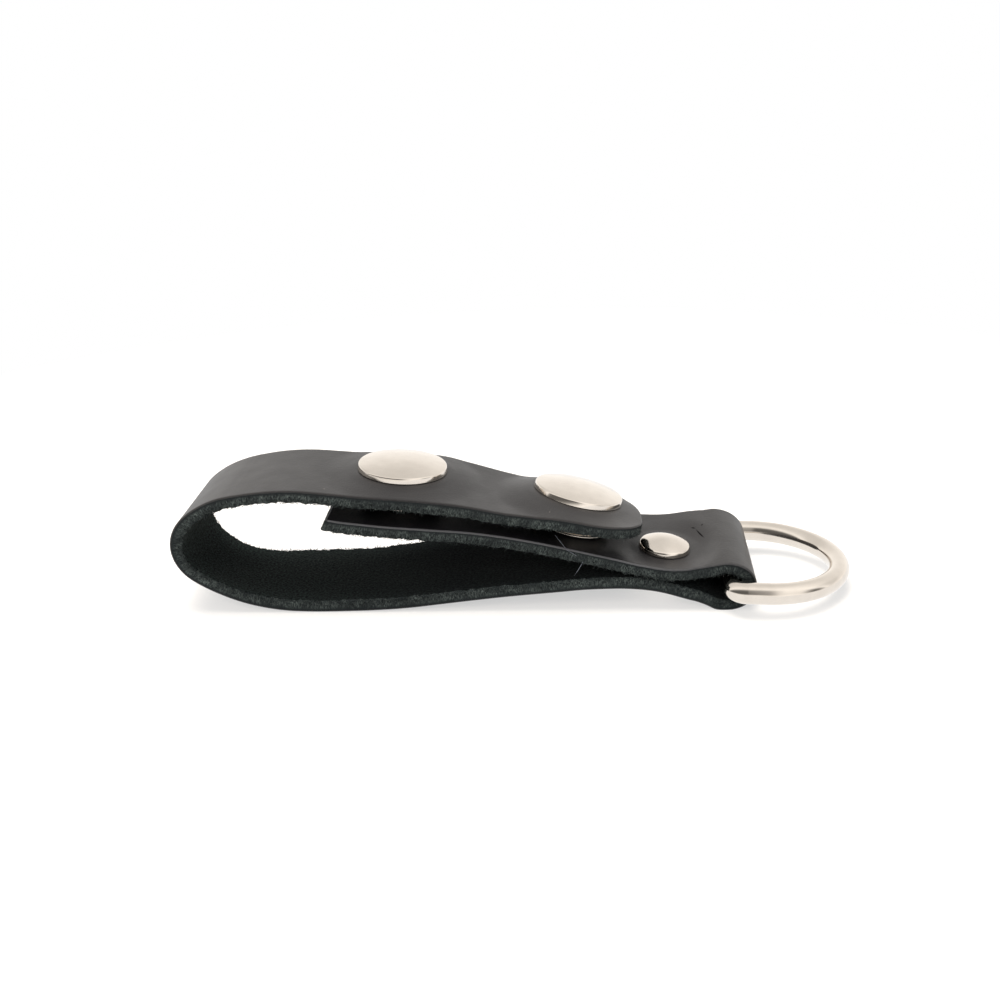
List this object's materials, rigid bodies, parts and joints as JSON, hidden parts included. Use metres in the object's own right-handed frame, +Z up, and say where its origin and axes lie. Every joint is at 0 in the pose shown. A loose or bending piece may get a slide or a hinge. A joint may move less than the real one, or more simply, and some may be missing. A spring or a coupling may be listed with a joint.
{
  "type": "leather key strap",
  "caption": "Leather key strap folded into a belt or wrist loop, closed by press snaps, with a D-ring for keys held in a riveted fold at its end.",
  "frame": {"origin": "bottom centre of the box round the part as it lies, on the surface that it lies on", "axes": "+X along the strap towards the D-ring, +Y across its width, +Z up from the surface that it lies on"},
  "size_m": [0.1106, 0.0298, 0.0225],
  "materials": {
    "black_leather": "satin black grain outside, suede flesh inside, raw cut edges",
    "nickel_plate": "polished nickel plate",
    "spring_steel": "drawn spring wire"
  },
  "bodies": {
    "strap": {"strap_body": "black_leather", "loop_snap_stud": "nickel_plate", "loop_snap_eyelet": "nickel_plate", "tip_snap_stud": "nickel_plate", "tip_snap_eyelet": "nickel_plate", "rivet_cap": "nickel_plate", "rivet_post": "nickel_plate"},
    "flap": {"strap_flap": "black_leather", "loop_snap_cap": "nickel_plate", "loop_snap_socket": "nickel_plate", "loop_snap_spring": "spring_steel", "tip_snap_cap": "nickel_plate", "tip_snap_socket": "nickel_plate", "tip_snap_spring": "spring_steel"},
    "ring": {"d_ring": "nickel_plate"}
  },
  "joints": [
    {"name": "flap_open", "type": "hinge", "parent": "strap", "child": "flap", "pos_m": [-0.04491, 0, 0.02096], "axis": [0, -1, 0], "range_deg": [0, 75], "deforming": ["loop_snap_spring", "tip_snap_spring"]},
    {"name": "ring_swing", "type": "hinge", "parent": "strap", "child": "ring", "pos_m": [0.03544, 0, 0.00405], "axis": [0, -1, 0], "range_deg": [-150, 130]}
  ]
}
